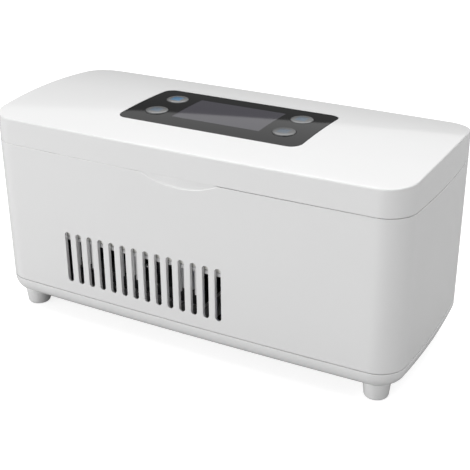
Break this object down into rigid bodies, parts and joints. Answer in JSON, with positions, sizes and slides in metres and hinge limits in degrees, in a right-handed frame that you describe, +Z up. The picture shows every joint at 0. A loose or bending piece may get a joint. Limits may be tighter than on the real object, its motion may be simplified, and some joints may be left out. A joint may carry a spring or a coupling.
{
  "type": "insulin cooling case",
  "caption": "White bench-top cooling case for insulin pens, with a hinged lid holding a display and keys, an aluminium chamber and a fan-cooled unit in the base.",
  "frame": {"origin": "centre of the bounding box on the surface that the feet stand on", "axes": "+X to the right along the case, -Y towards the user (the side with the vent slots), +Z up"},
  "size_m": [0.205, 0.0938, 0.1007],
  "materials": {
    "white_gloss_abs": "smooth gloss",
    "white_satin_abs": "satin",
    "foam": "closed cell foam",
    "black_plastic": "satin",
    "panel_gloss": "high gloss",
    "key_silver": "metallic silver",
    "aluminium": "brushed",
    "sink_black": "black anodised",
    "steel": "plain",
    "circuit_board": "solder mask",
    "screen": "liquid crystal",
    "ceramic": "matt alumina",
    "silicone": "soft matt",
    "cell_sleeve": "shrink sleeve",
    "lead_red": "insulated wire",
    "lead_black": "insulated wire"
  },
  "bodies": {
    "case": {"base_tray": "white_gloss_abs", "battery_cell_1": "cell_sleeve", "battery_cell_2": "cell_sleeve", "battery_cell_3": "cell_sleeve", "battery_cell_4": "cell_sleeve", "battery_cradle": "black_plastic", "battery_strip_left": "steel", "battery_strip_right": "steel", "board_screw_left": "steel", "board_screw_right": "steel", "body_shell": "white_gloss_abs", "bracket_screw_left": "steel", "bracket_screw_right": "steel", "carrier_frame": "white_satin_abs", "chamber_deck": "white_satin_abs", "chamber_insulation": "foam", "chamber_tray": "aluminium", "cold_block": "aluminium", "dc_jack": "black_plastic", "fan_bracket": "black_plastic", "fan_frame": "black_plastic", "fan_screw_left": "steel", "fan_screw_right": "steel", "foot_front_left": "white_gloss_abs", "foot_front_right": "white_gloss_abs", "foot_rear_left": "white_gloss_abs", "foot_rear_right": "white_gloss_abs", "foot_screw_front_left": "steel", "foot_screw_front_right": "steel", "foot_screw_rear_left": "steel", "foot_screw_rear_right": "steel", "heat_sink": "sink_black", "hinge_pin_left": "steel", "hinge_pin_right": "steel", "main_board": "circuit_board", "peltier_lead_black": "lead_black", "peltier_lead_red": "lead_red", "peltier_module": "ceramic", "sink_screw_left": "steel", "sink_screw_right": "steel", "strike_plate": "steel", "temperature_sensor": "steel"},
    "lid": {"lid_shell": "white_gloss_abs", "lid_liner": "white_satin_abs", "lid_insulation": "foam", "lid_gasket": "silicone", "lid_magnet": "steel", "display_window": "panel_gloss", "display_module": "screen", "display_board": "circuit_board", "lid_screw_1": "steel", "lid_screw_2": "steel", "lid_screw_3": "steel", "lid_screw_4": "steel"},
    "fan_rotor": {"fan_rotor": "black_plastic"},
    "button_front_left": {"button_front_left": "key_silver"},
    "button_front_right": {"button_front_right": "key_silver"},
    "button_rear_left": {"button_rear_left": "key_silver"},
    "button_rear_right": {"button_rear_right": "key_silver"}
  },
  "joints": [
    {"name": "lid_hinge", "type": "hinge", "parent": "case", "child": "lid", "pos_m": [0, 0.0441, 0.0858], "axis": [-1, 0, 0], "range_deg": [0, 100]},
    {"name": "fan_spin", "type": "hinge", "parent": "case", "child": "fan_rotor", "pos_m": [-0.027, -0.0014, 0.0231], "axis": [0, 0, 1], "continuous": true},
    {"name": "key_front_left_press", "type": "slide", "parent": "lid", "child": "button_front_left", "axis": [0, 0, -1], "range_m": [0, 0.0006], "stiffness_N_per_m": 1200},
    {"name": "key_front_right_press", "type": "slide", "parent": "lid", "child": "button_front_right", "axis": [0, 0, -1], "range_m": [0, 0.0006], "stiffness_N_per_m": 1200},
    {"name": "key_rear_left_press", "type": "slide", "parent": "lid", "child": "button_rear_left", "axis": [0, 0, -1], "range_m": [0, 0.0006], "stiffness_N_per_m": 1200},
    {"name": "key_rear_right_press", "type": "slide", "parent": "lid", "child": "button_rear_right", "axis": [0, 0, -1], "range_m": [0, 0.0006], "stiffness_N_per_m": 1200}
  ]
}
